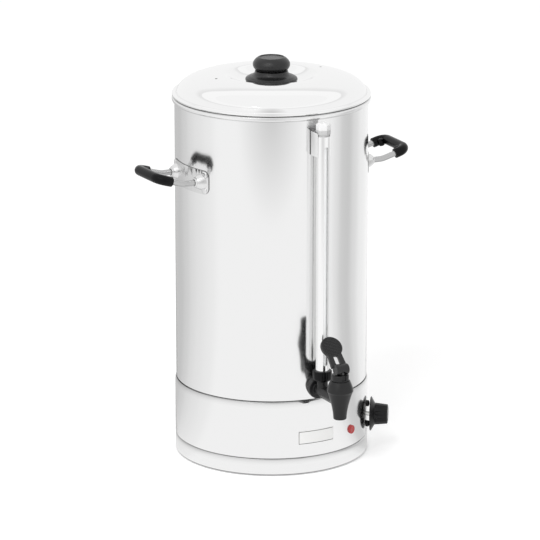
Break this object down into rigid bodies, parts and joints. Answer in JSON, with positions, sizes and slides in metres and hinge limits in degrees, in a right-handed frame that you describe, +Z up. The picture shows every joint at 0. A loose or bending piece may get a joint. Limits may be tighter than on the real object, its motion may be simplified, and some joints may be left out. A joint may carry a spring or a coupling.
{
  "type": "hot water urn",
  "caption": "Electric stainless steel hot water urn: lift-off lid, side carrying handles, sight gauge, lever tap and a thermostat dial on a heated base.",
  "frame": {"origin": "on the tank's axis, in the plane of the surface that the rubber feet stand on", "axes": "+Z up along the tank's axis; the tap and the sight gauge face -Y; the handles lie towards -X and +X"},
  "size_m": [0.3888, 0.3558, 0.546],
  "materials": {
    "polished_steel": "mirror-polished stainless steel sheet and rod",
    "plain_steel": "plain bright stainless steel",
    "black_plastic": "heat-resistant black moulding, satin",
    "natural_plastic": "milky natural moulding",
    "silicone": "translucent white food-grade silicone",
    "rubber": "moulded black rubber",
    "glass": "clear borosilicate tube",
    "element_sheath": "satin heat-resisting steel sheath",
    "brass": "machined brass",
    "copper": "drawn copper",
    "red_lens": "clear red moulding",
    "label_blank": "blank silvered foil plate",
    "lead_insulation": "coloured silicone insulation"
  },
  "bodies": {
    "urn": {"tank": "polished_steel", "left_handle_rod": "polished_steel", "right_handle_rod": "polished_steel", "left_handle_plate": "polished_steel", "right_handle_plate": "polished_steel", "left_handle_bosses": "polished_steel", "right_handle_bosses": "polished_steel", "wall_rivets": "polished_steel", "gauge_guard": "polished_steel", "gauge_bracket": "polished_steel", "base_skirt": "polished_steel", "bottom_ring": "polished_steel", "tie_bolt": "plain_steel", "grip_screws": "plain_steel", "tap_lock_nut": "plain_steel", "valve_spring": "plain_steel", "base_plate": "plain_steel", "foot_screws": "plain_steel", "sensor_bracket": "plain_steel", "terminal_screws": "plain_steel", "left_grip_top": "black_plastic", "left_grip_bottom": "black_plastic", "right_grip_top": "black_plastic", "right_grip_bottom": "black_plastic", "gauge_cup_nut": "black_plastic", "thermostat_screws": "black_plastic", "tap_body": "black_plastic", "tap_bonnet": "black_plastic", "indicator_body": "black_plastic", "cord_entry_bush": "black_plastic", "dry_boil_cutout": "black_plastic", "gauge_vent_cap": "natural_plastic", "thermostat_body": "natural_plastic", "terminal_block": "natural_plastic", "gauge_seal": "silicone", "tap_inner_seal": "silicone", "element_seals": "silicone", "rubber_feet": "rubber", "tap_outer_seal": "rubber", "gauge_glass": "glass", "heating_element": "element_sheath", "element_nuts": "brass", "earth_stud": "brass", "thermostat_probe": "copper", "thermostat_capillary": "copper", "indicator_lens": "red_lens", "label_plate": "label_blank", "inner_leads": "lead_insulation"},
    "lid": {"lid_shell": "polished_steel", "lid_knob": "black_plastic", "lid_knob_flange": "black_plastic", "lid_knob_screw": "plain_steel"},
    "tap_valve": {"valve_stem": "black_plastic", "seat_cup": "silicone", "lever_pin": "plain_steel"},
    "tap_lever": {"tap_lever": "black_plastic"},
    "thermostat_dial": {"thermostat_knob": "black_plastic", "thermostat_spindle": "plain_steel"}
  },
  "joints": [
    {"name": "lid_lift", "type": "slide", "parent": "urn", "child": "lid", "axis": [0, 0, 1], "range_m": [0, 0.12]},
    {"name": "valve_lift", "type": "slide", "parent": "urn", "child": "tap_valve", "axis": [0, 0, 1], "range_m": [0, 0.004], "deforming": ["valve_spring"]},
    {"name": "tap_lever_tilt", "type": "hinge", "parent": "tap_valve", "child": "tap_lever", "pos_m": [0, -0.1965, 0.16244], "axis": [1, 0, 0], "range_deg": [0, 70], "stiffness_Nm_per_rad": 0.04, "springref_deg": -28.65},
    {"name": "thermostat_turn", "type": "hinge", "parent": "urn", "child": "thermostat_dial", "pos_m": [0.11841, -0.07838, 0.0505], "axis": [-0.8339, 0.5519, 0], "range_deg": [0, 270]}
  ],
  "couplings": [
    {"joint": "tap_lever_tilt", "follows": "valve_lift", "rad_per_m": 305.43}
  ]
}
